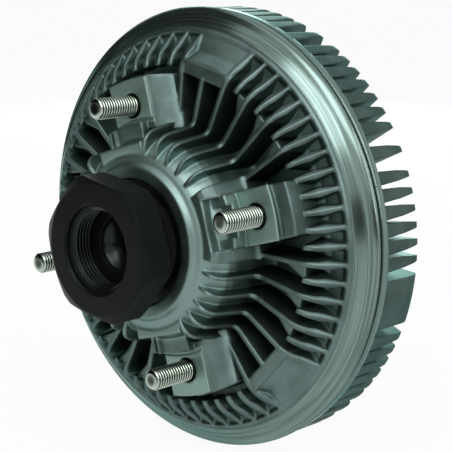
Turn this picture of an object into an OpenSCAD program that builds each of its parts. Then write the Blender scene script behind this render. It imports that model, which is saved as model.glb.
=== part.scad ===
// Viscous fan clutch: a threaded hexagonal hub drives a finned housing through a fluid coupling.
// The axis runs along Y, with the engine at -Y and the radiator at +Y. The origin is the centre
// of the stud circle, in the plane of the four pads that the fan rests on.
// Points of a turned profile are [radius, place along the axis].

/* [Fan mounting] */
// Diameter of the circle that the fan studs stand on
stud_circle_d = 102; // [98:0.5:106]
// Thread diameter of the fan studs
stud_d = 8; // [6:0.5:9]
// Length of a stud in front of its pad
stud_out = 18.7; // [12:0.1:24]
// Depth of a stud in the casting
stud_in = 13.5; // [9:0.5:15]
// Diameter of the pilot that centres the fan
pilot_d = 88; // [86:0.5:90]
// Width of a fan pad
pad_w = 20; // [16:0.5:22]
// Reach of a fan pad beyond the stud circle
pad_reach = 10; // [8:0.5:11]
// Width of the relief groove between pilot and pad
pad_groove_w = 1.4; // [1:0.1:2]
// Depth of the relief groove between pilot and pad
pad_groove_depth = 0.7; // [0.4:0.1:1]
// Height of the arms behind the pads, which carry the pilot
arm_h = 3; // [2:0.1:4]
// Angle of the first stud from the horizontal
stud_angle = 16.4; // [0:0.1:30]

/* [Input hub] */
// Width of the hexagon across its flats
hex_flats = 50; // [46:0.5:52]
// Diameter that the hexagon's corners are turned to
hex_corner_d = 55.4; // [53:0.1:58]
// Thickness of the hexagon
hex_h = 12.3; // [10:0.1:16]
// Angle of the hexagon's first corner
hex_angle = 50.5; // [30:0.5:60]
// Gap between the hexagon and the housing's nose
hub_gap = 7.7; // [5:0.1:11]
// Diameter of the collar behind the hexagon
collar_d = 42; // [36:0.5:46]
// Length of the collar behind the hexagon
collar_len = 5.5; // [3:0.1:6]
// Inner diameter of the hub's thread
thread_d = 28.38; // [26:0.02:30]
// Length of the hub's thread
thread_len = 7; // [5:0.1:7.5]
// Diameter of the hub's plain mouth
mouth_d = 32.7; // [31:0.1:35]
// Depth of the hub's plain mouth
mouth_depth = 3.6; // [2:0.1:4]
// Diameter of the step at the bottom of the thread
step_d = 22; // [18:0.5:24]
// Diameter of the centre drilling in the shaft
drill_d = 12; // [8:0.5:13]
// Length of the centre drilling behind its cone
drill_len = 4.5; // [3:0.5:7]

/* [Bearing] */
// Diameter of the shaft and bore of the bearing
bearing_bore = 20; // [18:0.5:21]
// Outer diameter of the bearing
bearing_od = 47; // [45:0.5:49]
// Width of the bearing
bearing_w = 14; // [12:0.5:15]
// Diameter of a bearing ball
ball_d = 7.9; // [7:0.1:8.4]
// Number of bearing balls
ball_count = 8; // [6:1:8]
// Radial width of the gap between the two races
race_gap = 5; // [4.4:0.1:5.6]
// Thickness of the bearing seals
seal_t = 0.9; // [0.6:0.1:1.2]
// Thickness of the ring that holds the bearing in the housing
bearing_ring_t = 1.75; // [1.5:0.05:2]

/* [Rear housing] */
// Largest diameter of the housing
rim_d = 172; // [168:0.5:178]
// Height of the nose above the fan pads
nose_h = 12.5; // [11:0.1:14]
// Thickness of the nose around the bearing
nose_wall = 5.9; // [5:0.1:6.5]
// Depth of the rib floor below the fan pads
floor_depth = 17.5; // [16:0.1:20]
// Thickness of the floor behind the ribs
floor_wall = 4; // [3:0.1:6]
// Depth of the rib crests below the fan pads
crest_depth = 7.4; // [6:0.1:9]
// Height of the rib crests' hump around the nose, above the fan pads
hump_h = 9.8; // [8:0.1:11]
// Distance from the fan pilot to the edge of the skirt around the nose
skirt_in = 5.5; // [5:0.1:6.5]
// Height of the skirt's edge above the fan pads
skirt_h = 2.2; // [1.8:0.1:2.6]
// Thickness of a cooling rib at its crest
rib_t = 1.4; // [1.1:0.1:1.8]
// Thickness of a cooling rib at the floor
rib_foot_t = 5; // [4:0.1:5.4]
// Length of the pointed outer end of a rib
rib_point = 12; // [10:0.5:13]
// Angle between the ribs on the side of the first stud
rib_pitch_first = 5.18; // [5.1:0.01:5.2]
// Angle between the ribs behind the second and fourth stud
rib_pitch_side = 5.74; // [5.7:0.01:5.78]
// Angle between the ribs on the side of the third stud
rib_pitch_third = 5.33; // [5.3:0.01:5.38]
// Height of the triangular ledges above the floor
ledge_h = 8.2; // [6:0.1:9]
// Half angle between the two lands, from the first stud
land_angle = 59.25; // [58.5:0.05:60]
// Distance from the rim to the inner ends of the short ribs
tooth_in = 21.5; // [20:0.1:23]
// Distance from the rim to the straight bar on each land
bar_in = 24.3; // [23:0.1:25]
// Distance from the rim to the outer ends of the ribs
crest_in = 9.8; // [9:0.1:11]
// Length of the straight bar on each land
bar_len = 22.4; // [18:0.2:24]
// Width of the straight bar on each land
bar_w = 5.1; // [4:0.1:6]

/* [Front cover] */
// Diameter of the cover over its fins
cover_d = 170.9; // [167:0.1:176]
// Height of the working chamber
chamber_h = 11.2; // [10:0.1:13]
// Height of the cover's outer ring
ring_h = 2.9; // [2:0.1:4]
// Height of the fins above the outer ring
fin_h = 20.2; // [18:0.1:22]
// Number of fin places around the cover
fin_places = 86; // [80:2:90]
// Thickness of a fin at its foot
fin_foot_t = 5; // [4:0.1:5.4]
// Thickness of a fin at its tip
fin_tip_t = 1.9; // [1.4:0.1:2.2]
// Length of a short fin
fin_len = 35.5; // [30:0.5:40]
// Angle of the solid lug in the ring of fins
lug_angle = 347.73; // [340:0.01:355]
// Length of the solid lug along the radius
lug_len = 22; // [18:0.5:26]
// Thickness of the cover's crown
cover_wall = 2.7; // [2:0.1:4]
// Thickness of the flange under the rolled lip
flange_t = 1.4; // [1:0.1:2]
// Thickness of the rolled lip
lip_t = 0.5; // [0.4:0.05:0.8]
// Section diameter of the seal between housing and cover
seal_ring_d = 1.8; // [1.4:0.1:2]

/* [Rotor and pump plate] */
// Thickness of the rotor's web
rotor_web = 4; // [3:0.1:4.5]
// Diameter of the rotor's hub
rotor_hub_d = 28; // [25:0.5:30]
// Number of ring lands on the rotor
land_count = 5; // [3:1:5]
// Share of the land pitch that a ring land on the rotor takes
land_share = 0.5; // [0.45:0.01:0.55]
// Share of the land pitch that a ring land on the cover takes
cover_land_share = 0.3; // [0.2:0.01:0.32]
// Distance from the rotor's hub to its return holes
return_hole_out = 18; // [14:0.5:20]
// Diameter of the pump plate
plate_d = 88; // [84:0.5:89]
// Thickness of the pump plate
plate_t = 1.4; // [1:0.1:2]
// Width of the seat that the pump plate is riveted to
plate_seat_w = 6; // [5.5:0.1:7]
// Height of the reservoir
reservoir_h = 3.3; // [3:0.1:4]
// Number of rivets in the pump plate
rivet_count = 4; // [3:1:6]
// Diameter of a rivet
rivet_d = 2.4; // [2:0.1:2.6]
// Depth of a rivet in the cover
rivet_in = 2.6; // [2:0.1:3]

/* [Thermostat] */
// Diameter of the valve shaft
valve_d = 7; // [6:0.1:8]
// Thickness of the valve arm
valve_arm_t = 0.8; // [0.6:0.1:1]
// Distance from the reservoir's wall to the gate hole's centre
gate_inset = 7; // [6:0.5:10]
// Diameter of the gate hole
gate_d = 6; // [4:0.5:6]
// Thickness of the coil's strip
coil_t = 0.8; // [0.6:0.1:1]
// Width of the coil's strip
coil_w = 4.6; // [4:0.1:5]
// Distance between the coil's turns
coil_pitch = 2.6; // [2.2:0.1:3]
// Number of half turns of the coil
coil_half_turns = 11; // [7:2:11]

/* [Fits] */
// Radial play of the valve shaft in the cover
valve_play = 0.04; // [0.02:0.01:0.08]
// Play between the bearing's balls, races and cage
ball_play = 0.08; // [0.05:0.01:0.12]
// Play between parts that are seated together
seat_play = 0.05; // [0.03:0.01:0.1]
// Play between parts that move past each other
run_play = 0.4; // [0.3:0.05:0.6]

/* [Hidden] */
$fn = 96;

// Colours of the finishes
cast_colour = [0.58, 0.60, 0.58];
steel_colour = [0.75, 0.75, 0.72];
black_colour = [0.10, 0.09, 0.08];
zinc_colour = [0.82, 0.83, 0.76];
rubber_colour = [0.12, 0.12, 0.12];
coil_colour = [0.72, 0.62, 0.40];

// A cut runs this far past the wall it opens
past = 1;
// A rib or pad is rooted this far inside the wall it stands on
root = 1.5;
// Broken edge of a machined corner
edge = 0.8;
// Reach of the boxes that trim a shape, beyond every part
far = 200;

// Stations along the axis of the housing and its bearing
nose_y = -nose_h;
flare_y = nose_y + 3.4;
floor_y = floor_depth;
chamber_y = floor_y + floor_wall;
joint_y = chamber_y + 3;
bearing_ring_y = nose_y + 0.85;
bearing_y = bearing_ring_y + bearing_ring_t;
bearing_end_y = bearing_y + bearing_w;
bearing_mid_y = bearing_y + bearing_w / 2;

// Stations along the axis of the hub
hex_back_y = nose_y - hub_gap;
hex_front_y = hex_back_y - hex_h;
thread_y = hex_front_y + mouth_depth;
relief_w = 1.9;
step_y = thread_y + thread_len + relief_w;

// Stations along the axis of the cover and what it holds
lip_y = joint_y + flange_t;
ring_y = lip_y + lip_t + 0.2;
fin_y = ring_y + ring_h;
tip_y = fin_y + fin_h;
plate_y = chamber_y + chamber_h;
reservoir_y = plate_y + plate_t;
crown_y = reservoir_y + reservoir_h;
well_y = crown_y + cover_wall;
boss_y = well_y + 0.6;
arm_y = reservoir_y + run_play;
collar_y = arm_y + valve_arm_t;
inner_boss_y = collar_y + run_play;
coil_y = boss_y + run_play;

// Radii of the housing
stud_r = stud_circle_d / 2;
stud_core_r = stud_d / 2 - 0.3;
pilot_r = pilot_d / 2;
pad_in_r = pilot_r + pad_groove_w;
pad_out_r = stud_r + pad_reach;
arm_in_r = pilot_r - 8;
seat_r = bearing_od / 2;
nose_r = seat_r + nose_wall;
rim_r = rim_d / 2;
tooth_r = rim_r - tooth_in;
crest_out_r = rim_r - crest_in;
bar_in_r = rim_r - bar_in;
spigot_r = rim_r - 14;
lip_out_r = rim_r - 1.6;
flange_r = lip_out_r - 2;
seal_r = rim_r - 9;
seal_groove_w = seal_ring_d + 0.4;
seal_groove_depth = seal_ring_d + 2 * seat_play;
ring_groove_r = seat_r + 1.25;

// Radii of the bearing
ball_r = ball_d / 2;
ball_circle_r = (bearing_bore + bearing_od) / 4;
inner_race_r = ball_circle_r - race_gap / 2;
outer_race_r = ball_circle_r + race_gap / 2;

// Radii of the cover, rotor and valve
cover_r = cover_d / 2;
spigot_t = 2;
rotor_r = spigot_r - spigot_t - 1;
shaft_r = bearing_bore / 2;
rotor_y = chamber_y + 2;
rotor_face_y = rotor_y + rotor_web;
first_land_r = plate_d / 2 + 2;
land_pitch = (rotor_r - 5 - first_land_r) / (land_count - land_share);
land_t = land_pitch * land_share;
cover_land_t = land_pitch * cover_land_share;
reservoir_d = plate_d - 2 * plate_seat_w;
gate_r = reservoir_d / 2 - gate_inset;
clip_t = 1.2;
clip_y = rotor_face_y + 1.4;
clip_groove_r = shaft_r - 0.7;
shaft_end_y = clip_y + clip_t + 1.6;
rivet_circle_r = (plate_d + reservoir_d) / 4;
rivet_head_d = rivet_d * 1.6;
rivet_head_h = 0.7;
valve_r = valve_d / 2;
valve_neck_r = valve_r - 0.9;
valve_bore_r = valve_r + valve_play;
valve_seal_r = 0.55;
valve_seal_y = (inner_boss_y + boss_y) / 2;
well_r = 26;
fin_pitch = 360 / fin_places;
slot_w = coil_t + 2 * seat_play;
coil_in_r = valve_r + 1.6;
coil_out_r = coil_in_r + coil_half_turns * coil_pitch / 2;
post_r = coil_out_r + coil_pitch / 2;

// Angles of the four studs, and of the ribs from the first stud
stud_angles = [for (i = [0:3]) stud_angle + 90 * i];
rib_zero = stud_angle + 0.2;
side_start = 180 - 110.7;
side_ribs = [for (s = [-1, 1], i = [0:9]) s * (side_start + i * rib_pitch_side)];
first_teeth = [for (i = [-9.5:9.5]) i * rib_pitch_first];
third_teeth = [for (i = [-10:10]) 180 + i * rib_pitch_third];
long_ribs = concat(
    [for (s = [-1, 1], i = [3.5:2:9.5]) s * i * rib_pitch_first],
    [for (s = [-1, 1]) s * side_start],
    [for (s = [-1, 1]) s * (side_start + 9 * rib_pitch_side)],
    [for (s = [-1, 1], i = [3:2:9]) 180 + s * i * rib_pitch_third]
);
// Each ledge lies beside a long rib, on the side away from the first stud
ledges = concat(
    [for (s = [-1, 1], i = [3.5:2:7.5]) [s * i * rib_pitch_first, s * rib_pitch_first]],
    [for (s = [-1, 1], i = [5:2:11]) [180 - s * i * rib_pitch_third, s * rib_pitch_third]]
);

// Fin places from the lug: a pair gives way to one long fin at every ninth place
long_fins = [for (s = [-1, 1], i = [9:9:36]) s * i];
short_fins = [for (i = [2.5:fin_places - 2.5])
    if (len([for (k = long_fins) if (abs((i - k + fin_places) % fin_places - fin_places / 2)
        > fin_places / 2 - 1) k]) == 0) i];

function bend(a, b, c, steps = 6) = [for (i = [0:steps])
    let (t = i / steps) a * (1 - t) * (1 - t) + b * 2 * t * (1 - t) + c * t * t];

module turned(profile) {
    rotate([-90, 0, 0])
        rotate_extrude()
            polygon(profile);
}

module rod(r, y0, y1) {
    translate([0, y0, 0])
        rotate([-90, 0, 0])
            cylinder(h = y1 - y0, r = r);
}

// Turns a shape about the axis: +X goes to the angle, and Z then runs around the axis
module at(angle) {
    rotate([0, -angle, 0])
        children();
}

// A box from radius r0 to r1, from z0 to z1 across, from y0 to y1 along the axis
module block(r0, r1, z0, z1, y0, y1) {
    translate([r0, y0, z0])
        cube([r1 - r0, y1 - y0, z1 - z0]);
}

// A plan in radius and width, raised along the axis
module raised(y0, y1) {
    translate([0, y1, 0])
        rotate([90, 0, 0])
            linear_extrude(y1 - y0)
                children();
}

// A section in width and place along the axis, drawn out from radius r0 to r1
module drawn_out(r0, r1) {
    translate([r0, 0, 0])
        rotate([0, 90, 0])
            linear_extrude(r1 - r0)
                children();
}

// Thin ring with a gap, as a retaining ring has
module split_ring(r0, r1, y0, y1, gap) {
    difference() {
        turned([[r0, y0], [r1, y0], [r1, y1], [r0, y1]]);
        block(0, far, -gap / 2, gap / 2, y0 - past, y1 + past);
    }
}

// Input side

module hexagon() {
    intersection() {
        translate([0, hex_front_y, 0])
            rotate([-90, 0, 0])
                rotate([0, 0, -hex_angle])
                    cylinder(h = hex_h, d = hex_flats / cos(30), $fn = 6);
        turned([
            [0, hex_front_y], [hex_flats / 2 - edge, hex_front_y],
            [hex_corner_d / 2, hex_front_y + 2 * edge], [hex_corner_d / 2, hex_back_y - edge],
            [hex_corner_d / 2 - 2 * edge, hex_back_y], [0, hex_back_y]
        ]);
    }
}

module shaft_body() {
    turned([
        [0, hex_back_y - hex_h / 2], [collar_d / 2, hex_back_y - hex_h / 2],
        [collar_d / 2, hex_back_y + collar_len - edge], [collar_d / 2 - edge, hex_back_y + collar_len],
        [inner_race_r - 0.3, hex_back_y + collar_len], [inner_race_r - 0.3, bearing_y],
        [shaft_r, bearing_y], [shaft_r, clip_y], [clip_groove_r, clip_y],
        [clip_groove_r, clip_y + clip_t], [shaft_r, clip_y + clip_t],
        [shaft_r, shaft_end_y - edge], [shaft_r - edge, shaft_end_y], [0, shaft_end_y]
    ]);
}

module hub_socket() {
    thread_r = thread_d / 2;
    lead = 1.2;
    relief_r = thread_r + lead + 0.1;
    step_r = step_d / 2;
    step_end_y = step_y + lead + 0.1;
    cone_y = step_end_y + 2.5;
    drill_r = drill_d / 2;
    drill_y = cone_y + 2.7;
    drill_end_y = drill_y + drill_len;
    turned([
        [0, hex_front_y - past], [mouth_d / 2 + edge + past, hex_front_y - past],
        [mouth_d / 2, hex_front_y + edge], [mouth_d / 2, thread_y - lead], [thread_r, thread_y],
        [thread_r, thread_y + thread_len], [relief_r, thread_y + thread_len + lead / 2],
        [relief_r, step_y], [step_r, step_y + lead / 4], [step_r, step_end_y],
        [drill_r + 2, cone_y], [drill_r, drill_y], [drill_r, drill_end_y],
        [0, drill_end_y + drill_r / 2]
    ]);
}

module input_shaft() {
    color(black_colour)
        difference() {
            union() {
                hexagon();
                shaft_body();
            }
            hub_socket();
        }
}

module bearing_race(r0, r1) {
    color(steel_colour)
        difference() {
            turned([
                [r0, bearing_y], [r1, bearing_y], [r1, bearing_end_y], [r0, bearing_end_y]
            ]);
            ball_track();
        }
}

module ball_track() {
    translate([0, bearing_mid_y, 0])
        rotate([-90, 0, 0])
            rotate_extrude()
                translate([ball_circle_r, 0])
                    circle(r = ball_r + ball_play);
}

module bearing_inner_race() {
    bearing_race(shaft_r, inner_race_r);
}

module bearing_outer_race() {
    bearing_race(outer_race_r, seat_r);
}

module bearing_balls() {
    color(steel_colour)
        for (i = [0:ball_count - 1])
            at(360 / ball_count * i)
                translate([ball_circle_r, bearing_mid_y, 0])
                    sphere(r = ball_r);
}

module bearing_cage() {
    half_w = ball_r + ball_play + 0.9;
    half_t = race_gap * 0.21;
    color(coil_colour)
        difference() {
            turned([
                [ball_circle_r - half_t, bearing_mid_y - half_w],
                [ball_circle_r + half_t, bearing_mid_y - half_w],
                [ball_circle_r + half_t, bearing_mid_y + half_w],
                [ball_circle_r - half_t, bearing_mid_y + half_w]
            ]);
            for (i = [0:ball_count - 1])
                at(360 / ball_count * i)
                    translate([0, bearing_mid_y, 0])
                        drawn_out(inner_race_r, outer_race_r)
                            circle(r = ball_r + ball_play);
        }
}

module bearing_seal(y0) {
    color(rubber_colour)
        turned([
            [inner_race_r + run_play, y0], [outer_race_r, y0],
            [outer_race_r, y0 + seal_t], [inner_race_r + run_play, y0 + seal_t]
        ]);
}

module bearing_rear_seal() {
    bearing_seal(bearing_y + 0.3);
}

module bearing_front_seal() {
    bearing_seal(bearing_end_y - 0.3 - seal_t);
}

module bearing_retaining_ring() {
    ear_r = 2.2;
    ear_circle_r = seat_r - 2.6;
    ear_angle = 11;
    gap_angle = 200;
    color(black_colour)
        at(gap_angle)
            difference() {
                union() {
                    split_ring(seat_r - 2.6, ring_groove_r - seat_play,
                        bearing_ring_y + seat_play, bearing_y, 6);
                    for (s = [-1, 1])
                        at(s * ear_angle)
                            translate([ear_circle_r, 0, 0])
                                rod(ear_r, bearing_ring_y + 3 * seat_play, bearing_y - 2 * seat_play);
                }
                for (s = [-1, 1])
                    at(s * ear_angle)
                        translate([ear_circle_r, 0, 0])
                            rod(ear_r / 2, bearing_ring_y - past, bearing_y + past);
            }
}

// Rotor

module rotor_lands() {
    for (i = [0:land_count - 1])
        let (r = first_land_r + i * land_pitch)
            turned([
                [r, rotor_face_y - past], [r + land_t, rotor_face_y - past],
                [r + land_t, plate_y - 2 * run_play], [r, plate_y - 2 * run_play]
            ]);
}

module rotor_disc() {
    return_hole_r = 3;
    hub_r = rotor_hub_d / 2;
    color(cast_colour)
        difference() {
            union() {
                turned([
                    [shaft_r, bearing_end_y], [inner_race_r, bearing_end_y],
                    [hub_r, bearing_end_y + 1], [hub_r, rotor_y], [rotor_r, rotor_y],
                    [rotor_r, rotor_face_y], [hub_r, rotor_face_y], [hub_r, clip_y],
                    [shaft_r, clip_y]
                ]);
                rotor_lands();
            }
            for (i = [0:3])
                at(90 * i)
                    translate([hub_r + return_hole_out, 0, 0])
                        rod(return_hole_r, rotor_y - past, rotor_face_y + past);
        }
}

module rotor_retaining_ring() {
    color(steel_colour)
        split_ring(clip_groove_r, shaft_r + 2.6, clip_y, clip_y + clip_t, 6);
}

// Rear housing

module housing_blank() {
    skirt_r = pilot_r - skirt_in;
    skirt_y = -skirt_h;
    valley_out_r = pilot_r + 0.5;
    turned(concat(
        [[seat_r + edge, nose_y], [nose_r - edge, nose_y], [nose_r, nose_y + edge]],
        bend([nose_r + 0.6, nose_y + 1.7], [skirt_r - 3, nose_y + 3], [skirt_r, skirt_y]),
        bend([skirt_r + 0.8, skirt_y + 3], [skirt_r + 2.5, floor_y], [valley_out_r, floor_y], 8),
        [[crest_out_r - 0.6, floor_y], [crest_out_r, floor_y - 0.4]],
        [[rim_r - 8.4, floor_y], [rim_r - 7.8, floor_y + 1], [rim_r - 7.2, floor_y + 0.8]],
        bend([rim_r - 3.3, floor_y + 3.9], [rim_r - 0.5, floor_y + 5.1], [rim_r, joint_y - 0.3], 4),
        [[lip_out_r, joint_y + 0.4], [lip_out_r, lip_y + lip_t / 4]],
        [[lip_out_r - 0.4, lip_y + lip_t], [flange_r - 2, lip_y + lip_t], [flange_r - 2, lip_y]],
        [[flange_r + seat_play, lip_y], [flange_r + seat_play, joint_y]],
        [[seal_r + seal_groove_w / 2, joint_y]],
        [[seal_r + seal_groove_w / 2, joint_y - seal_groove_depth]],
        [[seal_r - seal_groove_w / 2, joint_y - seal_groove_depth]],
        [[seal_r - seal_groove_w / 2, joint_y]],
        [[spigot_r + seat_play, joint_y], [spigot_r + seat_play, chamber_y]],
        [[seat_r + 9.5, chamber_y], [seat_r - 3.5, bearing_end_y + 3], [seat_r - 3.5, bearing_end_y]],
        [[seat_r, bearing_end_y], [seat_r, bearing_y], [ring_groove_r, bearing_y]],
        [[ring_groove_r, bearing_ring_y], [seat_r, bearing_ring_y], [seat_r, nose_y + edge]]
    ));
}

// Space under the rib crests: the ribs are flat walls trimmed by this shape
module crest_space() {
    crest_y = crest_depth;
    slope_r = crest_out_r - 5.7;
    turned(concat(
        [[nose_r + 0.8, flare_y + root]],
        bend([nose_r + 1.2, flare_y], [pilot_r - 2.5, -hump_h - 3.2], [pilot_r - 1.6, -4]),
        bend([pilot_r, crest_y - 2.2], [pilot_r + 0.4, crest_y], [pilot_r + 2.5, crest_y], 4),
        bend([tooth_r - 1, crest_y], [slope_r - 2.5, crest_y + 0.4], [slope_r, crest_y + 3.4], 4),
        [[crest_out_r + 0.8, floor_y + 0.5], [crest_out_r + 0.8, floor_y + root]],
        [[pilot_r + 2, floor_y + root], [nose_r + 6, floor_y - 3.5], [nose_r + 1.6, flare_y + 8]]
    ));
}

// Wall of a rib: thin down to the crests' level, then spreading towards the floor.
// Its outer end runs to a point.
module rib_wall(angle, r0, r1) {
    top = rib_t * 0.45;
    crest = rib_t * 0.62;
    foot = rib_foot_t / 2;
    spread_y = crest_depth + 0.4;
    point_r = crest_out_r - rib_point;
    plan = foot + 0.3;
    point = rib_t / 3;
    at(rib_zero + angle)
        intersection() {
            drawn_out(r0, r1)
                polygon([
                    [-top, -far], [top, -far], [top, -hump_h], [crest, spread_y], [foot, floor_y + root],
                    [foot, far], [-foot, far], [-foot, floor_y + root], [-crest, spread_y], [-top, -hump_h]
                ]);
            raised(-far / 2, far / 2)
                polygon([
                    [0, -plan], [point_r, -plan], [crest_out_r + 2 * past, -point],
                    [crest_out_r + 2 * past, point], [point_r, plan], [0, plan]
                ]);
        }
}

// Parts of the barrel behind a pad that are filled up to the rib crests
module barrel_fill() {
    half_w = pad_w / 2;
    fill_angle = 20;
    for (i = [0, 2])
        at(stud_angles[i])
            difference() {
                raised(-far, far)
                    polygon([
                        [0, 0], pad_in_r * [cos(fill_angle), -sin(fill_angle)],
                        [pad_in_r, 0], pad_in_r * [cos(fill_angle), sin(fill_angle)]
                    ]);
                block(arm_in_r, far, -half_w + 0.6, half_w - 0.6, -far, far);
            }
    for (i = [1, 3])
        at(stud_angles[i])
            block(nose_r, arm_in_r, -half_w - 1.5, half_w + 1.5, -far, far);
}

module ribs() {
    intersection() {
        crest_space();
        union() {
            for (a = long_ribs)
                rib_wall(a, nose_r, crest_out_r + past);
            for (s = [-1, 1])
                rib_wall(s * land_angle, nose_r, bar_in_r + past);
            for (a = concat(first_teeth, side_ribs, third_teeth))
                rib_wall(a, tooth_r, crest_out_r + past);
            barrel_fill();
        }
    }
}

module ledge(start, width) {
    inner_r = tooth_r - 11.5;
    raised(floor_y - ledge_h, floor_y + root)
        polygon([
            tooth_r * [cos(start), sin(start)],
            tooth_r * [cos(start + width), sin(start + width)],
            inner_r * [cos(start), sin(start)]
        ]);
}

// Straight bar with a plain sloping land outside it, between two ribs
module land() {
    bar_out_r = bar_in_r + bar_w;
    half_angle = land_angle - 9.5 * rib_pitch_first;
    bar_y = crest_depth + 0.6;
    intersection() {
        union() {
            block(bar_in_r, bar_out_r, -bar_len / 2, bar_len / 2, bar_y, far);
            turned([
                [bar_out_r - past, bar_y + 1], [bar_out_r + 0.6, bar_y + 1],
                [bar_out_r + 3.4, bar_y + 5.6], [crest_out_r + 0.6, floor_y + 0.2],
                [crest_out_r + 0.6, floor_y + past], [bar_out_r - past, floor_y + past]
            ]);
        }
        raised(-far, floor_y + past / 2)
            polygon([[0, 0], rim_r * [cos(half_angle), -sin(half_angle)],
                rim_r * [cos(half_angle), sin(half_angle)]]);
    }
}

module pad(out_r) {
    intersection() {
        turned([
            [pilot_r - 2, pad_groove_depth], [pad_in_r, pad_groove_depth], [pad_in_r, 0],
            [out_r, 0], [out_r, floor_y + root], [pilot_r - 2, floor_y + root]
        ]);
        block(0, far, -pad_w / 2, pad_w / 2, -far, far);
    }
}

// Ring that the arms behind the pads are cut from, up to the pilot
module arm_ring() {
    turned([
        [nose_r + 3, -hump_h], [pilot_r, -hump_h], [pilot_r, floor_y + past], [nose_r + 3, floor_y - past]
    ]);
}

// Pads in line with the first stud: a second step outside the pad, and a wide arm with a pocket
module axial_pad() {
    half_w = pad_w / 2;
    lap = 0.3;
    pocket_w = 11;
    pad(pad_out_r - 0.8);
    intersection() {
        turned([
            [pad_in_r + past, 2], [tooth_r + 2, 2],
            [tooth_r + 2, floor_y + past], [pad_in_r + past, floor_y + past]
        ]);
        block(0, far, -half_w + lap, half_w - lap, -far, far);
    }
    intersection() {
        arm_ring();
        union() {
            block(0, far, -half_w + 2 * lap, half_w - 2 * lap, -arm_h, far);
            for (s = [-1, 1])
                translate([0, 0, s * (half_w + pocket_w / 2) / 2])
                    block(0, far, -(half_w - pocket_w / 2) / 2 + lap, (half_w - pocket_w / 2) / 2 - lap,
                        -arm_h - 2.5, far);
        }
    }
}

// Pads beside the first stud: a rounded flank towards it, and two thin ribs on the other side
module side_pad() {
    half_w = pad_w / 2;
    flank_r = 12;
    flank_shift = half_w - 3.5;
    pad(pad_out_r);
    intersection() {
        arm_ring();
        union() {
            block(0, far, -half_w + 1.6, half_w - 3.7, -arm_h, far);
            for (z = [-half_w + 1.5, -half_w - 1])
                block(0, far, z - rib_t / 2, z + rib_t / 2, -arm_h - 1, far);
        }
    }
    intersection() {
        turned([
            [pilot_r - 2.5, 0.4], [pad_out_r + 0.5, 0.4],
            [pad_out_r + 0.5, floor_y + past], [pilot_r - 2.5, floor_y + past]
        ]);
        translate([0, flank_r + 0.5, flank_shift])
            rotate([0, 90, 0])
                cylinder(h = pad_out_r + past, r = flank_r);
    }
}

module stud_hole() {
    translate([stud_r, 0, 0])
        turned([
            [0, -past], [stud_d / 2 + 1 + past, -past], [stud_core_r, stud_d / 2 + 1 - stud_core_r],
            [stud_core_r, stud_in], [0, stud_in]
        ]);
}

module rear_housing() {
    color(cast_colour)
        difference() {
            union() {
                housing_blank();
                ribs();
                for (place = ledges)
                    at(rib_zero)
                        ledge(place[0], place[1]);
                for (s = [-1, 1])
                    at(rib_zero + s * land_angle)
                        land();
                for (i = [0, 2])
                    at(stud_angles[i])
                        axial_pad();
                at(stud_angles[1])
                    mirror([0, 0, 1])
                        side_pad();
                at(stud_angles[3])
                    side_pad();
            }
            for (a = stud_angles)
                at(a)
                    stud_hole();
        }
}

module fan_studs() {
    stud_hr = stud_d / 2;
    color(zinc_colour)
        for (a = stud_angles)
            at(a)
                translate([stud_r, 0, 0])
                    turned([
                        [0, -stud_out], [stud_hr - 1, -stud_out], [stud_hr, -stud_out + 1],
                        [stud_hr, seat_play], [stud_core_r, seat_play], [stud_core_r, stud_in], [0, stud_in]
                    ]);
}

module cover_seal_ring() {
    color(rubber_colour)
        translate([0, joint_y - seal_groove_depth / 2, 0])
            rotate([-90, 0, 0])
                rotate_extrude()
                    translate([seal_r, 0])
                        circle(d = seal_ring_d);
}

// Front cover

module cover_blank() {
    plate_seat_r = plate_d / 2 + seat_play;
    turned([
        [spigot_r - spigot_t, chamber_y + 0.2], [spigot_r, chamber_y + 0.2], [spigot_r, joint_y],
        [flange_r, joint_y], [flange_r, lip_y], [flange_r - 2.2, lip_y], [flange_r - 2.2, ring_y],
        [cover_r, ring_y], [cover_r, fin_y], [spigot_r + 0.5, plate_y + 3.8], [well_r + 1, well_y + 0.2],
        [well_r, well_y], [valve_r + 3, well_y], [valve_r + 3, boss_y], [valve_bore_r, boss_y],
        [valve_bore_r, inner_boss_y], [valve_r + 3.5, inner_boss_y], [valve_r + 3.5, crown_y],
        [reservoir_d / 2, crown_y], [reservoir_d / 2, reservoir_y], [plate_seat_r, reservoir_y],
        [plate_seat_r, plate_y], [spigot_r - spigot_t, plate_y]
    ]);
}

module cover_lands() {
    gap = (land_pitch - land_t - cover_land_t) / 2;
    for (i = [0:land_count - 1])
        let (r = first_land_r + land_t + gap + i * land_pitch)
            turned([
                [r, rotor_face_y + 2 * run_play], [r + cover_land_t, rotor_face_y + 2 * run_play],
                [r + cover_land_t, plate_y + past], [r, plate_y + past]
            ]);
}

// Space of the fins: every fin is a tapered wall trimmed by this shape
module fin_space() {
    corner = 5;
    turned(concat(
        [[well_r + 2, well_y - past], [spigot_r + 0.5, plate_y + 3.8 - past], [cover_r, fin_y - past]],
        bend([cover_r, tip_y - corner], [cover_r, tip_y], [cover_r - corner, tip_y + past / 2], 5),
        [[cover_r - 2 * corner, tip_y + past], [well_r + 8, tip_y + past]],
        [[well_r + 2, well_y + 2]]
    ));
}

module fin(place, r0) {
    foot = fin_foot_t / 2;
    tip = fin_tip_t / 2;
    waist = (foot + tip) / 2 + 0.25;
    waist_y = (fin_y + tip_y) / 2;
    at(lug_angle + place * fin_pitch)
        intersection() {
            fin_space();
            drawn_out(r0, cover_r + past)
                polygon([
                    [-foot, fin_y], [-foot, fin_y - 4 * past], [foot, fin_y - 4 * past], [foot, fin_y],
                    [waist, waist_y], [tip, tip_y - 1.4 * tip], [tip * 0.4, tip_y],
                    [-tip * 0.4, tip_y], [-tip, tip_y - 1.4 * tip], [-waist, waist_y]
                ]);
        }
}

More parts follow.
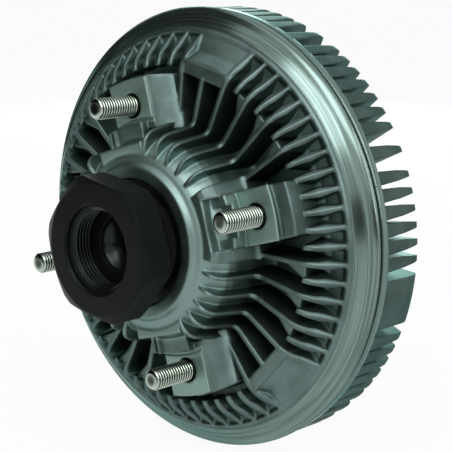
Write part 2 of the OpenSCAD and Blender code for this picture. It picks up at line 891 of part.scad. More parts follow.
module lug() {
    half_angle = 1.5 * fin_pitch;
    lug_in_r = cover_r - lug_len;
    at(lug_angle)
        intersection() {
            fin_space();
            raised(-far, tip_y - 0.2)
                polygon([
                    lug_in_r * [cos(half_angle), -sin(half_angle)],
                    (cover_r + past) * [cos(half_angle), -sin(half_angle)],
                    (cover_r + past) * [1, 0],
                    (cover_r + past) * [cos(half_angle), sin(half_angle)],
                    lug_in_r * [cos(half_angle), sin(half_angle)]
                ]);
        }
}

module coil_post() {
    post_len = 4;
    post_w = 5;
    difference() {
        block(post_r, post_r + post_len, -post_w / 2, post_w / 2, well_y - past, coil_y + coil_w);
        block(post_r - past, post_r + post_len + past, -slot_w / 2, slot_w / 2, coil_y - seat_play, far);
    }
}

module front_cover() {
    color(cast_colour)
        difference() {
            union() {
                cover_blank();
                cover_lands();
                for (place = short_fins)
                    fin(place, cover_r - fin_len);
                for (place = long_fins)
                    fin(place, well_r);
                lug();
                coil_post();
            }
            rivet_shanks();
        }
}

module pump_plate() {
    pump_hole_r = reservoir_d / 2 - 3;
    wiper_r = plate_d / 2 - 3;
    color(steel_colour)
        difference() {
            union() {
                rod(plate_d / 2, plate_y, reservoir_y);
                at(120)
                    translate([wiper_r, 0, 0])
                        rod(2, plate_y - 0.6, plate_y + plate_t / 2);
            }
            at(180)
                translate([gate_r, 0, 0])
                    rod(gate_d / 2, plate_y - past, reservoir_y + past);
            at(120)
                translate([pump_hole_r, 0, 0])
                    rod(1, plate_y - past, reservoir_y + past);
            rivet_shanks();
        }
}

module rivet_shanks() {
    for (i = [0:rivet_count - 1])
        at(45 + 360 / rivet_count * i)
            translate([rivet_circle_r, 0, 0])
                rod(rivet_d / 2, plate_y, reservoir_y + rivet_in);
}

module pump_plate_rivets() {
    color(steel_colour)
        union() {
            rivet_shanks();
            for (i = [0:rivet_count - 1])
                at(45 + 360 / rivet_count * i)
                    translate([rivet_circle_r, 0, 0])
                        rod(rivet_head_d / 2, plate_y - rivet_head_h, plate_y);
        }
}

// Thermostat

module valve_shaft() {
    groove_r = valve_r - 2 * valve_seal_r;
    groove_y = valve_seal_y - valve_seal_r - seat_play;
    groove_end_y = valve_seal_y + valve_seal_r + seat_play;
    shaft_top_y = coil_y + coil_w - seat_play;
    color(steel_colour)
        difference() {
            turned([
                [0, arm_y], [valve_neck_r, arm_y], [valve_neck_r, collar_y], [valve_r, collar_y],
                [valve_r, groove_y], [groove_r, groove_y], [groove_r, groove_end_y],
                [valve_r, groove_end_y], [valve_r, shaft_top_y], [0, shaft_top_y]
            ]);
            block(-far, far, -slot_w / 2, slot_w / 2, coil_y - seat_play, far);
        }
}

module valve_arm() {
    arm_w = 7;
    pad_r = gate_d / 2 + 1.5;
    hub_r = valve_r + 2.5;
    color(steel_colour)
        difference() {
            union() {
                rod(hub_r, arm_y, collar_y);
                block(-gate_r, 0, -arm_w / 2, arm_w / 2, arm_y, collar_y);
                translate([-gate_r, 0, 0])
                    rod(pad_r, arm_y, collar_y);
            }
            rod(valve_neck_r, arm_y - past, collar_y + past);
        }
}

module valve_seal() {
    color(rubber_colour)
        translate([0, valve_seal_y, 0])
            rotate([-90, 0, 0])
                rotate_extrude()
                    translate([valve_r - valve_seal_r, 0])
                        circle(r = valve_seal_r);
}

// Spiral of half rings: each half turn is wider by half the pitch, about a shifted centre
module bimetal_coil() {
    tang_r = valve_r - 0.3;
    end_r = post_r + 3.6;
    shift = coil_pitch / 2;
    color(coil_colour) {
        block(-tang_r, coil_in_r + coil_t / 2, -coil_t / 2, coil_t / 2, coil_y, coil_y + coil_w);
        for (i = [0:coil_half_turns - 1])
            translate([i % 2 == 0 ? 0 : shift, 0, 0])
                half_ring(coil_in_r + i * shift, i % 2 == 0 ? 0 : 180);
        at(180)
            block(coil_out_r - shift - coil_t / 2, end_r, -coil_t / 2, coil_t / 2, coil_y, coil_y + coil_w);
    }
}

module half_ring(r, start) {
    at(start)
        intersection() {
            turned([
                [r - coil_t / 2, coil_y], [r + coil_t / 2, coil_y],
                [r + coil_t / 2, coil_y + coil_w], [r - coil_t / 2, coil_y + coil_w]
            ]);
            block(-far, far, 0, far, -far, far);
        }
}

input_shaft();
bearing_inner_race();
rotor_disc();
rotor_retaining_ring();
bearing_balls();
bearing_cage();
rear_housing();
fan_studs();
bearing_outer_race();
bearing_rear_seal();
bearing_front_seal();
bearing_retaining_ring();
cover_seal_ring();
front_cover();
pump_plate();
pump_plate_rivets();
valve_shaft();
valve_arm();
valve_seal();
bimetal_coil();
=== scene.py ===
"""Looks of the viscous fan clutch: materials, threads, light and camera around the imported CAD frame."""

import math

import bmesh
import bpy
import numpy as np
from mathutils import Matrix, Vector


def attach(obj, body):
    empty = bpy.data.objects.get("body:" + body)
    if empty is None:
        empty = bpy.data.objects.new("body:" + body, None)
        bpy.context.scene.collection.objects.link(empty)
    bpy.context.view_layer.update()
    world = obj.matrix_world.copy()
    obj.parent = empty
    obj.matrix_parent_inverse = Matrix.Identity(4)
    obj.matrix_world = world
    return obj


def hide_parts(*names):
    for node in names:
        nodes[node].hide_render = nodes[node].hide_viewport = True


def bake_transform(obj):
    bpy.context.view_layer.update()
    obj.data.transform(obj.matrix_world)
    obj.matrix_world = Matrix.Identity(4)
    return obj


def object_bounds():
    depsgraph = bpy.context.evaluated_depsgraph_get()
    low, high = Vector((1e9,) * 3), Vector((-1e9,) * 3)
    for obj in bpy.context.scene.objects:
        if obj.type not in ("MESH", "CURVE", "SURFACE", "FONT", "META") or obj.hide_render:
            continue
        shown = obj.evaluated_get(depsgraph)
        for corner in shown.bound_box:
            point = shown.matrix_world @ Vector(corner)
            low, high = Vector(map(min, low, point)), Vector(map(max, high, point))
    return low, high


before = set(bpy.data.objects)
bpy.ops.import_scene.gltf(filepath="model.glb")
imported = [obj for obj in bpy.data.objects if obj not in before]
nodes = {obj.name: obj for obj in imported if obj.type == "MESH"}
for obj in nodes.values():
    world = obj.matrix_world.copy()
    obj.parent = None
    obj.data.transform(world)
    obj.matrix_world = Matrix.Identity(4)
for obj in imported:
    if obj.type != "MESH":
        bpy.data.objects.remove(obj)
cad_low, cad_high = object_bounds()
MM = 0.001

# Camera, solved from the photograph: degrees, millimetres in the row frame, and pixels
CAMERA_AZIMUTH = 43.08
CAMERA_ELEVATION = 10.81
CAMERA_ROLL = 0.10
CAMERA_DISTANCE = 527.44
CAMERA_SHIFT = (25.31, 4.49)
FOCAL_PIXELS = 1395.3
IMAGE_PIXELS = 452
SENSOR_WIDTH = 36

# Zones of the castings in metres, from the axis (R) and along it (Y): from, to and width of the soft edge
PAD_R, PAD_Y = (0.0446, 0.0612, 0.0002), (-0.00005, 0.00012, 0.0001)
PILOT_R, PILOT_Y = (0.04385, 0.0456, 0.0001), (-0.0054, 0.0009, 0.0002)
# The flare round the nose, where light is painted into the cast colour
SKIRT_LIGHT_R = (0.0297, 0.0375, 0.003)
RIB_END_R = (0.0695, 0.0745, 0.0032)

# Edges of zones in metres, which fade in from the first value to the second
# Where the painted light on the flare fades in along the axis
SKIRT_LIGHT_FADE_Y = (-0.0005, -0.003)
# Painted shade in the castings' hollows turns into painted light from the first radius to the second
HOLLOW_SHADE_FADE_R = (0.064, 0.074)
RIM_FADE_R, RIM_FADE_Y = (0.0782, 0.0788), (0.0176, 0.0181)
COVER_RING_FADE_R, COVER_RING_FADE_Y = (0.0846, 0.0850), (0.0298, 0.0292)
SOCKET_FADE_R = (0.0155, 0.0151)

# How far, in metres, a wall counts as close by in the castings' hollows, where shade is painted
HOLLOW_REACH = 0.010

# Ribs, in degrees to both sides of RIB_ZERO: each group's start, first rib and pitch, and the bare lands
RIB_ZERO = 16.6
RIB_GROUPS = ((-1.0, 2.59, 5.18), (60.0, 69.3, 5.74), (124.0, 180.0, 5.33))
LAND_ANGLE, LAND_HALF = 59.25, 10.04

# Relief of the ribs' outer ends: fall per length from the crest, then reach and crest radius in metres
RIB_FALL, RIB_REACH, RIB_CREST = 0.8, 0.0018, 0.0004

# Studs, in millimetres and degrees: their circle, and each one's radius, ends and thread
STUD_CIRCLE_R, STUD_ANGLE, STUD_COUNT = 51.0, 16.4, 4
STUD_R, STUD_TIP, STUD_END, STUD_PITCH = 4.0, -18.7, 13.5, 1.25
STUD_DEPTH = 0.6134 * STUD_PITCH

# Form of the studs: from where painted shade covers the whole stud at its foot, the tip's chamfer, and the
# flanks' steepness and root
STUD_FOOT_SHADE_Y = -0.5
STUD_CHAMFER_DROP, STUD_CHAMFER_SLOPE = 0.3, 1.15
STUD_FLANK, STUD_ROOT = 1.25, 0.06

# Hub thread, in millimetres: crest and root radius, pitch, and the stretch that the cutting tool travels
HUB_CREST_R, HUB_ROOT_R, HUB_PITCH = 14.19, 15.0, 1.5
HUB_TRAVEL = (-29.9, -21.3)

# Edges of the cut threads that stay sharp, in degrees, and the distance within which corners join, in metres
STUD_SHARP, HUB_SHARP = 50, 12
WELD = 1e-6

# Stage: the floor's size and its gap below the part in metres, its share of white page, and the fill light
FLOOR_SIZE, FLOOR_GAP, FLOOR_PAGE = 40.0, 0.0005, 0.94
FILL_STRENGTH = 0.35


# Shader building


class Graph:
    """A material's node tree, with short calls to add and join nodes."""

    def __init__(self, name):
        self.material = bpy.data.materials.new(name)
        self.material.use_nodes = True
        self.tree = self.material.node_tree
        self.shader = self.tree.nodes["Principled BSDF"]
        self.place = self.add("ShaderNodeTexCoord").outputs["Object"]
        self.x, self.y, self.z = self.add("ShaderNodeSeparateXYZ", {0: self.place}).outputs
        self.r = self.math("SQRT", self.math("ADD", self.squared(self.x), self.squared(self.z)))

    def add(self, kind, inputs=None, **settings):
        node = self.tree.nodes.new(kind)
        for key, value in settings.items():
            setattr(node, key, value)
        self.fill(node, inputs or {})
        return node

    def fill(self, node, inputs):
        for key, value in inputs.items():
            if isinstance(value, bpy.types.NodeSocket):
                self.tree.links.new(value, node.inputs[key])
            else:
                node.inputs[key].default_value = value

    def math(self, operation, a, b=0.0):
        return self.add("ShaderNodeMath", {0: a, 1: b}, operation=operation).outputs[0]

    def times(self, a, b):
        return self.math("MULTIPLY", a, b)

    def squared(self, a):
        return self.times(a, a)

    def step(self, value, low, high):
        """0 before low, 1 past high, smooth between them; low may be above high."""
        inputs = {0: value, 1: low, 2: high, 3: 0.0, 4: 1.0}
        return self.add("ShaderNodeMapRange", inputs, interpolation_type="SMOOTHSTEP").outputs[0]

    def band(self, value, low, high, soft):
        """1 from low to high, and 0 from soft outside them."""
        return self.times(self.step(value, low - soft, low), self.step(value, high + soft, high))

    def noise(self, scale, detail=3.0, place=None):
        inputs = {"Vector": place or self.place, "Scale": scale, "Detail": detail}
        return self.add("ShaderNodeTexNoise", inputs).outputs[0]

    def mix(self, factor, a, b):
        """Colours or plain numbers a and b."""
        plain = not any(hasattr(v, "__len__") or getattr(v, "type", "") == "RGBA" for v in (a, b))
        kind, first = ("FLOAT", 2) if plain else ("RGBA", 6)
        if not plain:
            a, b = (v if isinstance(v, bpy.types.NodeSocket) else (*v, 1.0) for v in (a, b))
        node = self.add("ShaderNodeMix", {0: factor, first: a, first + 1: b}, data_type=kind)
        return node.outputs[0 if plain else 2]

    def rings(self, ring_scale, round_scale):
        """Noise drawn out around the axis, as turning marks are."""
        stretched = self.add("ShaderNodeCombineXYZ", {
            0: self.times(self.r, ring_scale),
            1: self.times(self.y, ring_scale),
            2: self.times(self.math("ARCTAN2", self.z, self.x), round_scale),
        }).outputs[0]
        return self.noise(1.0, 2.0, stretched)

    def bump(self, height, strength, distance, rounding=0.0, relief=None):
        """Fine height map over rounded edges, and over a coarse relief in metres where one is given."""
        inputs = {"Height": height, "Strength": strength, "Distance": distance}
        if rounding:
            inputs["Normal"] = self.add("ShaderNodeBevel", {"Radius": rounding}, samples=6).outputs[0]
        if relief:
            coarse = {**inputs, "Height": relief, "Strength": 1.0, "Distance": 1.0}
            inputs["Normal"] = self.add("ShaderNodeBump", coarse).outputs[0]
        self.fill(self.shader, {"Normal": self.add("ShaderNodeBump", inputs).outputs[0]})

    def hollow(self, reach):
        """1 in the open, towards 0 well down between walls; the castings use it as the mask of their painted
        shade.
        """
        return self.add("ShaderNodeAmbientOcclusion", {"Distance": reach}, samples=8).outputs["AO"]


# Materials


def cast_aluminium(name, machined, painted_shade_factor=1.0):
    """Grey die casting with painted light and shade: painted shade in its hollows that turns into painted
    light near the rim, painted light on the flare round the nose, and painted shade over all the cast
    colours where painted_shade_factor is below 1. machined gives the masks of turned faces and bright rim,
    and a relief or None.
    """
    g = Graph(name)

    # Cast colours scaled by painted_shade_factor; below 1 it paints shade over the whole casting
    def grey(*colour):
        return tuple(painted_shade_factor * v for v in colour)

    patches = g.noise(90.0, 4.0)
    grain = g.noise(2600.0, 2.0)
    marks = g.rings(9000.0, 3.0)
    streaks = g.rings(1400.0, 2.0)
    face, rim, relief = machined(g)
    cast = g.mix(g.step(patches, 0.35, 0.65), grey(0.100, 0.146, 0.136), grey(0.142, 0.203, 0.190))
    # Painted shade in hollows: dark inwards, turning into painted light towards the rim
    hollow_shade = g.mix(g.step(g.r, *HOLLOW_SHADE_FADE_R), grey(0.040, 0.059, 0.055), grey(0.200, 0.286, 0.268))
    cast = g.mix(g.step(g.hollow(HOLLOW_REACH), 0.05, 0.7), hollow_shade, cast)
    # Painted light on the flare round the nose: a lighter cast colour there
    skirt_painted_light = g.times(g.band(g.r, *SKIRT_LIGHT_R), g.step(g.y, *SKIRT_LIGHT_FADE_Y))
    cast = g.mix(skirt_painted_light, cast, grey(0.205, 0.292, 0.272))
    turned = g.mix(marks, (0.215, 0.312, 0.275), (0.290, 0.412, 0.362))
    bright = g.mix(g.step(streaks, 0.3, 0.7), (0.110, 0.158, 0.145), (0.205, 0.280, 0.260))
    rough = g.mix(face, g.mix(patches, 0.36, 0.46), 0.46)
    g.fill(g.shader, {
        "Base Color": g.mix(rim, g.mix(face, cast, turned), bright),
        "Metallic": 0.95,
        "Roughness": g.mix(rim, rough, g.mix(streaks, 0.14, 0.24)),
        "Specular Tint": (0.45, 0.60, 0.57, 1.0),
    })
    skin = g.math("ADD", grain, g.times(patches, 2.0))
    height = g.mix(g.math("MAXIMUM", face, rim), skin, marks)
    g.bump(height, g.mix(rim, 0.22, 0.03), 0.00012, 0.0014, relief)
    return g.material


def rib_ends(g):
    """Height, in metres, that falls away on both sides of the crest lines at the ribs' outer ends."""
    c, s = math.cos(math.radians(RIB_ZERO)), math.sin(math.radians(RIB_ZERO))
    along = g.math("ADD", g.times(g.x, c), g.times(g.z, s))
    across = g.math("SUBTRACT", g.times(g.z, c), g.times(g.x, s))
    angle = g.times(g.math("ABSOLUTE", g.math("ARCTAN2", across, along)), 180 / math.pi)
    away = 0.0
    for start, first, pitch in RIB_GROUPS:
        turns = g.math("DIVIDE", g.math("SUBTRACT", angle, first), pitch)
        gap = g.times(g.math("PINGPONG", turns, 0.5), math.radians(pitch))
        away = g.mix(g.math("GREATER_THAN", angle, start), away, gap)
    away = g.math("MINIMUM", g.times(away, g.r), RIB_REACH)
    slant = g.math("SQRT", g.math("ADD", g.squared(away), RIB_CREST ** 2))
    fall = g.math("SUBTRACT", slant, RIB_CREST)
    from_land = g.math("ABSOLUTE", g.math("SUBTRACT", angle, LAND_ANGLE))
    beside_land = g.math("GREATER_THAN", from_land, LAND_HALF)
    zone = g.times(g.band(g.r, *RIB_END_R), beside_land)
    return g.times(g.times(fall, -RIB_FALL), zone)


def housing_zones(g):
    """Turned pads and pilot arcs, the bright machined rim, and the relief of the rib ends."""
    pads = g.times(g.band(g.y, *PAD_Y), g.band(g.r, *PAD_R))
    pilot = g.times(g.band(g.y, *PILOT_Y), g.band(g.r, *PILOT_R))
    rim = g.times(g.step(g.r, *RIM_FADE_R), g.step(g.y, *RIM_FADE_Y))
    return g.math("MAXIMUM", pads, pilot), rim, rib_ends(g)


def cover_zones(g):
    """No turned face and no relief, only the bright machined ring."""
    ring = g.times(g.step(g.r, *COVER_RING_FADE_R), g.step(g.y, *COVER_RING_FADE_Y))
    return 0.0, ring, None


def plain_metal(name, dark, light, rough, turned=0.0):
    """Metal with soft patches of two tones and either a fine grain or turning marks of that strength."""
    g = Graph(name)
    patches = g.noise(220.0, 4.0)
    grain = g.rings(7000.0, 3.0) if turned else g.noise(3000.0, 2.0)
    g.fill(g.shader, {
        "Base Color": g.mix(g.step(patches, 0.3, 0.7), dark, light),
        "Metallic": 1.0,
        "Roughness": g.mix(grain, rough - 0.06, rough + 0.06),
    })
    g.bump(grain, turned or 0.12, 0.00006, 0.0003)
    return g.material


def black_hub(name):
    """Black oxide on turned steel, smoother and oily in the socket."""
    g = Graph(name)
    socket = g.step(g.r, *SOCKET_FADE_R)
    patches = g.noise(60.0, 3.0)
    marks = g.rings(7000.0, 3.0)
    g.fill(g.shader, {
        "Base Color": g.mix(patches, (0.0042, 0.0050, 0.0047), (0.0070, 0.0082, 0.0076)),
        "Roughness": g.mix(socket, g.mix(marks, 0.28, 0.38), 0.22),
        "Specular IOR Level": g.mix(socket, 0.1, 0.3),
        "Specular Tint": (0.75, 0.95, 0.85, 1.0),
    })
    g.bump(marks, 1.0, 0.000024, 0.0003)
    return g.material


def zinc_plate(name):
    """Bright plated thread with near-black painted shade in its grooves: the vertex value thread is 0 in the
    grooves and 1 on the crests.
    """
    g = Graph(name)
    crest = g.add("ShaderNodeAttribute", attribute_name="thread").outputs["Fac"]
    patches = g.noise(300.0, 3.0)
    plate = g.mix(patches, (0.38, 0.455, 0.385), (0.54, 0.625, 0.55))
    g.fill(g.shader, {
        # Painted shade: near-black in the grooves, the plate's own colour on the crests
        "Base Color": g.mix(g.step(crest, 0.4, 0.95), (0.010, 0.014, 0.010), plate),
        "Metallic": 1.0,
        "Roughness": g.mix(patches, 0.18, 0.28),
    })
    g.bump(g.noise(2500.0), 0.05, 0.00005)
    return g.material


def rubber(name):
    """Matt black seal rubber."""
    g = Graph(name)
    grain = g.noise(1800.0, 3.0)
    colour = g.mix(grain, (0.012, 0.012, 0.012), (0.03, 0.03, 0.03))
    g.fill(g.shader, {"Base Color": colour, "Roughness": 0.62})
    g.bump(grain, 0.15, 0.00008)
    return g.material


# Pieces made in Blender


def node_mesh(name):
    """A copy of a CAD node's mesh, in the row frame."""
    mesh = nodes[name].data.copy()
    mesh.transform(nodes[name].matrix_world)
    return mesh


def set_material(mesh, material):
    mesh.materials.clear()
    mesh.materials.append(material)


def new_object(name, data):
    made = bpy.data.objects.new(name, data)
    bpy.context.scene.collection.objects.link(made)
    return made


def shade(mesh, sharp_angle):
    """Smooth shading that breaks at edges sharper than sharp_angle, in degrees."""
    mesh.shade_smooth()
    mesh.set_sharp_from_angle(angle=math.radians(sharp_angle))


def thread_rows(around):
    """Rings of (radius, y, unshaded) along one stud: its tip, then the thread. unshaded is 0 where shade is
    painted: in the grooves, partly at the tip's centre, and all over past its foot.
    """
    tip_r, tip_y, thread_y = (STUD_R - STUD_DEPTH) * 0.8, STUD_TIP + 0.02, STUD_TIP + 0.25
    # The tip's centre gets painted shade, its edge hardly any
    tip = ((0.55, 0.55), (1.0, 0.85))
    rows = [[(share * tip_r, tip_y, unshaded)] * around for share, unshaded in tip]
    per_turn = 10
    count = int((STUD_END - STUD_TIP) / STUD_PITCH * per_turn)
    for y in np.linspace(thread_y, STUD_END, count):
        chamfer = STUD_R - STUD_DEPTH - STUD_CHAMFER_DROP + (y - STUD_TIP) * STUD_CHAMFER_SLOPE
        row = []
        for k in range(around):
            phase = (y / STUD_PITCH - k / around) % 1.0
            ridge = min(1.0, max(0.0, STUD_FLANK * (1 - abs(2 * phase - 1)) - STUD_ROOT))
            r = min(STUD_R - STUD_DEPTH * (1 - ridge), chamfer)
            row.append((r, y, ridge if y < STUD_FOOT_SHADE_Y else 0.0))
        rows.append(row)
    return rows


def threaded_rod():
    """Points, faces and shine of one stud about its own axis."""
    around = 40
    rows = thread_rows(around)
    points, crests = [(0.0, STUD_TIP, 0.0)], [0.5]
    for row in rows:
        for k, (r, y, crest) in enumerate(row):
            angle = 2 * math.pi * k / around
            points.append((r * math.cos(angle), y, r * math.sin(angle)))
            crests.append(crest)
    points.append((0.0, STUD_END, 0.0))
    crests.append(0.0)
    faces = [(0, 1 + k, 1 + (k + 1) % around) for k in range(around)]
    for i in range(len(rows) - 1):
        a, b = 1 + i * around, 1 + (i + 1) * around
        faces += [(a + k, b + k, b + (k + 1) % around, a + (k + 1) % around) for k in range(around)]
    last = 1 + (len(rows) - 1) * around
    faces += [(last + (k + 1) % around, last + k, len(points) - 1) for k in range(around)]
    return np.array(points), faces, crests


def make_studs(material):
    """The four studs with their thread, as one piece."""
    rod, rod_faces, crests = threaded_rod()
    points, faces = [], []
    for i in range(STUD_COUNT):
        a = math.radians(STUD_ANGLE + 360 / STUD_COUNT * i)
        shift = np.array((math.cos(a), 0, math.sin(a))) * STUD_CIRCLE_R
        faces += [tuple(v + len(points) for v in f) for f in rod_faces]
        points += [tuple(p) for p in (rod + shift) * MM]
    mesh = bpy.data.meshes.new("fan_studs_threaded")
    mesh.from_pydata(points, [], faces)
    mesh.update()
    shade(mesh, STUD_SHARP)
    set_material(mesh, material)
    mesh.attributes.new("thread", "FLOAT", "POINT").data.foreach_set("value", crests * STUD_COUNT)
    studs = new_object("fan_studs_threaded", mesh)
    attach(studs, "housing")
    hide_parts("fan_studs")


def thread_groove():
    """Points and faces of the helical groove that a threading tool cuts: a 60 degree tooth with a flat."""
    per_turn, overlap = 72, 0.15
    inner, flat = HUB_CREST_R - overlap, HUB_PITCH / 8
    half = flat / 2 + (HUB_ROOT_R - inner) * math.tan(math.radians(30))
    section = ((inner, -half), (HUB_ROOT_R, -flat / 2), (HUB_ROOT_R, flat / 2), (inner, half))
    corners = len(section)
    count = int((HUB_TRAVEL[1] - HUB_TRAVEL[0]) / HUB_PITCH * per_turn)
    points = []
    for k in range(count + 1):
        angle = 2 * math.pi * k / per_turn
        y = HUB_TRAVEL[0] + HUB_PITCH * k / per_turn
        points += [(r * math.cos(angle) * MM, (y + dy) * MM, r * math.sin(angle) * MM) for r, dy in section]
    faces = [tuple(reversed(range(corners)))]
    for k in range(count):
        a, b = k * corners, (k + 1) * corners
        for i in range(corners):
            j = (i + 1) % corners
            faces.append((a + i, a + j, b + j, b + i))
    faces.append(tuple(range(count * corners, (count + 1) * corners)))
    return points, faces


def close_up(mesh):
    """Joins a mesh's split corners and turns its faces outward, as a cut needs."""
    work = bmesh.new()
    work.from_mesh(mesh)
    bmesh.ops.remove_doubles(work, verts=work.verts, dist=WELD)
    bmesh.ops.recalc_face_normals(work, faces=work.faces)
    work.to_mesh(mesh)
    work.free()


def make_hub(material):
    """The input shaft with its thread cut into the plain wall of the socket."""
    points, faces = thread_groove()
    tool_mesh = bpy.data.meshes.new("thread_tool")
    tool_mesh.from_pydata(points, [], faces)
    close_up(tool_mesh)
    tool = new_object("thread_tool", tool_mesh)
    plain_mesh = node_mesh("input_shaft")
    close_up(plain_mesh)
    hub = new_object("input_shaft_threaded", plain_mesh)
    cut = hub.modifiers.new("thread", "BOOLEAN")
    cut.operation = "DIFFERENCE"
    cut.solver = "EXACT"
    cut.object = tool
    threaded = hub.evaluated_get(bpy.context.evaluated_depsgraph_get())
    hub.data = bpy.data.meshes.new_from_object(threaded)
    hub.modifiers.clear()
    bpy.data.objects.remove(tool)
    bpy.data.meshes.remove(tool_mesh)
    bpy.data.meshes.remove(plain_mesh)
    set_material(hub.data, material)
    shade(hub.data, HUB_SHARP)
    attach(hub, "hub")
    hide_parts("input_shaft")


def make_coil(material):
    """The thermostat's strip, turned half round so that its outer end sits in the cover's post.

    In the clutch it winds up as the valve turns, its middle with the valve and its outer end with the
    housing; here it is one fixed piece.
    """
    mesh = node_mesh("bimetal_coil")
    mesh.transform(Matrix.Rotation(math.pi, 4, "Y"))
    set_material(mesh, material)
    coil = new_object("bimetal_coil_wound", mesh)
    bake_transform(coil)
    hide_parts("bimetal_coil")


# Finishes

black_oxide = black_hub("black_oxide")
bearing_steel = plain_metal("bearing_steel", (0.40, 0.43, 0.42), (0.50, 0.53, 0.51), 0.22, 0.1)
spring_steel = plain_metal("spring_steel", (0.05, 0.055, 0.053), (0.08, 0.088, 0.084), 0.38)
zinc = zinc_plate("zinc_plate")
sheet_steel = plain_metal("sheet_steel", (0.32, 0.35, 0.34), (0.42, 0.45, 0.43), 0.33)
brass = plain_metal("cage_brass", (0.55, 0.42, 0.18), (0.66, 0.52, 0.26), 0.30)
bimetal = plain_metal("bimetal_strip", (0.40, 0.35, 0.22), (0.52, 0.46, 0.32), 0.32)
turned_aluminium = plain_metal("turned_aluminium", (0.36, 0.42, 0.40), (0.46, 0.52, 0.50), 0.34, 0.2)
seal_rubber = rubber("seal_rubber")

FINISHES = {
    "input_shaft": black_oxide,
    "bearing_inner_race": bearing_steel,
    "bearing_outer_race": bearing_steel,
    "bearing_balls": bearing_steel,
    "bearing_cage": brass,
    "bearing_rear_seal": seal_rubber,
    "bearing_front_seal": seal_rubber,
    "bearing_retaining_ring": spring_steel,
    "rotor_disc": turned_aluminium,
    "rotor_retaining_ring": spring_steel,
    "rear_housing": cast_aluminium("cast_housing", housing_zones),
    # The cover is a shaded copy of the casting: its cast colours at 0.56 are painted shade
    "front_cover": cast_aluminium("cast_cover_shaded", cover_zones, 0.56),
    "fan_studs": zinc,
    "cover_seal_ring": seal_rubber,
    "pump_plate": sheet_steel,
    "pump_plate_rivets": bearing_steel,
    "valve_shaft": bearing_steel,
    "valve_arm": sheet_steel,
    "valve_seal": seal_rubber,
    "bimetal_coil": bimetal,
}
for node_name, finish in FINISHES.items():
    set_material(nodes[node_name].data, finish)

make_hub(black_oxide)
make_studs(zinc)
make_coil(bimetal)


# Stage, light and camera


def make_camera():
    """Camera at the photograph's place, with its frame centred beside the axis as in the photograph."""
    a, e = math.radians(CAMERA_AZIMUTH), math.radians(CAMERA_ELEVATION)
    back = Vector((math.sin(a) * math.cos(e), -math.cos(a) * math.cos(e), math.sin(e)))
    right = Vector((math.cos(a), math.sin(a), 0))
    up = back.cross(right)
    place = back * CAMERA_DISTANCE + right * CAMERA_SHIFT[0] + up * CAMERA_SHIFT[1]
    roll = Matrix.Rotation(math.radians(CAMERA_ROLL), 3, back)
    right, up = roll @ right, roll @ up
    data = bpy.data.cameras.new("photo_camera")
    data.sensor_fit = "HORIZONTAL"
    data.sensor_width = SENSOR_WIDTH
    data.lens = SENSOR_WIDTH * FOCAL_PIXELS / IMAGE_PIXELS
    data.clip_start, data.clip_end = 0.01, 50
    camera = new_object("photo_camera", data)
    turn = Matrix((right, up, back)).transposed().to_4x4()
    camera.matrix_world = Matrix.Translation(place * MM) @ turn
    bpy.context.scene.camera = camera


def flat_sheet(name, width, height, z=0.0):
    """Mesh of one level rectangle about the z axis."""
    w, h = width / 2, height / 2
    mesh = bpy.data.meshes.new(name)
    mesh.from_pydata([(-w, -h, z), (w, -h, z), (w, h, z), (-w, h, z)], [], [(0, 1, 2, 3)])
    return mesh


def matt(name, value):
    """Plain matt material of one grey."""
    material = bpy.data.materials.new(name)
    material.use_nodes = True
    shader = material.node_tree.nodes["Principled BSDF"]
    shader.inputs["Base Color"].default_value = (value, value, value, 1)
    shader.inputs["Roughness"].default_value = 0.9
    return material


def seen_directly(tree, share):
    """share for rays from the camera and for mirrored and refracted ones, 0 for the others."""
    path = tree.nodes.new("ShaderNodeLightPath")
    total = path.outputs["Is Camera Ray"]
    for name in ("Is Glossy Ray", "Is Transmission Ray"):
        most = tree.nodes.new("ShaderNodeMath")
        most.operation = "MAXIMUM"
        tree.links.new(total, most.inputs[0])
        tree.links.new(path.outputs[name], most.inputs[1])
        total = most.outputs[0]
    scaled = tree.nodes.new("ShaderNodeMath")
    scaled.operation = "MULTIPLY"
    tree.links.new(total, scaled.inputs[0])
    scaled.inputs[1].default_value = share
    return scaled.outputs[0]


def show_page(tree, lit, page_kind, share, output):
    """Rays that see it directly get that share of a white page, and the rest of the lit shader."""
    page = tree.nodes.new(page_kind)
    page.inputs["Color"].default_value = (1, 1, 1, 1)
    page.inputs["Strength"].default_value = 1.0
    blend = tree.nodes.new("ShaderNodeMixShader")
    tree.links.new(seen_directly(tree, share), blend.inputs[0])
    tree.links.new(lit.outputs[0], blend.inputs[1])
    tree.links.new(page.outputs[0], blend.inputs[2])
    tree.links.new(blend.outputs[0], tree.nodes[output].inputs["Surface"])


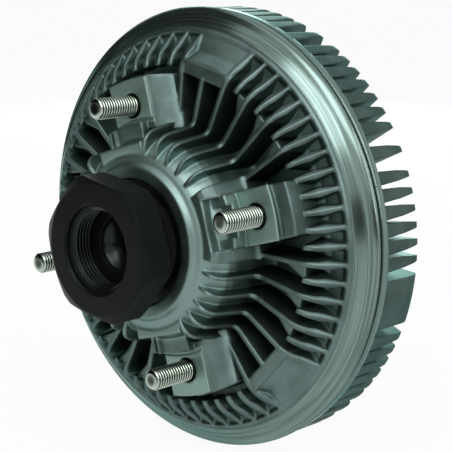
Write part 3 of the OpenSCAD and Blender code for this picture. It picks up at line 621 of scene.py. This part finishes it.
def stage_floor():
    """Pale floor that reads as the white page of the photograph but keeps a soft shadow."""
    mesh = flat_sheet("floor", FLOOR_SIZE, FLOOR_SIZE, cad_low.z - FLOOR_GAP)
    material = matt("floor_white", 0.85)
    tree = material.node_tree
    shader = tree.nodes["Principled BSDF"]
    shader.inputs["Specular IOR Level"].default_value = 0.1
    show_page(tree, shader, "ShaderNodeEmission", FLOOR_PAGE, "Material Output")
    mesh.materials.append(material)
    floor = new_object("floor", mesh)


def studio_world():
    """Soft fill from all round, with a white page behind the object."""
    world = bpy.data.worlds.new("studio")
    bpy.context.scene.world = world
    world.use_nodes = True
    fill = world.node_tree.nodes["Background"]
    fill.inputs["Color"].default_value = (0.95, 0.97, 1.0, 1)
    fill.inputs["Strength"].default_value = FILL_STRENGTH
    show_page(world.node_tree, fill, "ShaderNodeBackground", 1.0, "World Output")


def point_at(thing, place, aim):
    """Puts a light or card at place, facing aim."""
    thing.location = place
    thing.rotation_mode = "QUATERNION"
    thing.rotation_quaternion = (Vector(aim) - Vector(place)).to_track_quat("-Z", "Y")


def softbox(name, place, aim, size, watts):
    """Rectangular area light."""
    data = bpy.data.lights.new(name, "AREA")
    data.shape = "RECTANGLE"
    data.size, data.size_y = size
    data.energy = watts
    point_at(new_object(name, data), place, aim)


def dark_card(name, place, aim, size, material):
    """Black card beside the object, which gives the metal dark reflections; the camera doesn't see it."""
    mesh = flat_sheet(name, *size)
    mesh.materials.append(material)
    card = new_object(name, mesh)
    point_at(card, place, aim)
    card.visible_camera = False
    card.visible_shadow = False
    card.visible_diffuse = False


make_camera()
stage_floor()
studio_world()
softbox("key_softbox", (0.45, -0.75, 0.85), (0, 0, 0), (0.95, 0.7), 7.0)
softbox("side_softbox", (1.1, -0.1, 0.5), (0, 0.02, 0), (0.2, 0.8), 4.0)
softbox("rear_softbox", (-0.7, 1.1, 0.35), (0, 0.02, 0), (0.8, 0.6), 8.0)
black = matt("card_black", 0.02)
dark_card("left_card", (-1.0, -0.35, 0.75), (0, 0, 0), (1.5, 1.1), black)
dark_card("front_card", (0.95, -0.60, 0.0), (0, 0, 0), (0.9, 0.45), black)
dark_card("rear_card", (-1.1, 0.7, 0.0), (0, 0, 0), (1.2, 0.9), black)
dark_card("low_card", (-0.36, -0.40, 0.06), (0, 0, 0.02), (0.6, 0.28), black)

bpy.context.scene.view_settings.view_transform = "Standard"

bpy.context.view_layer.update()
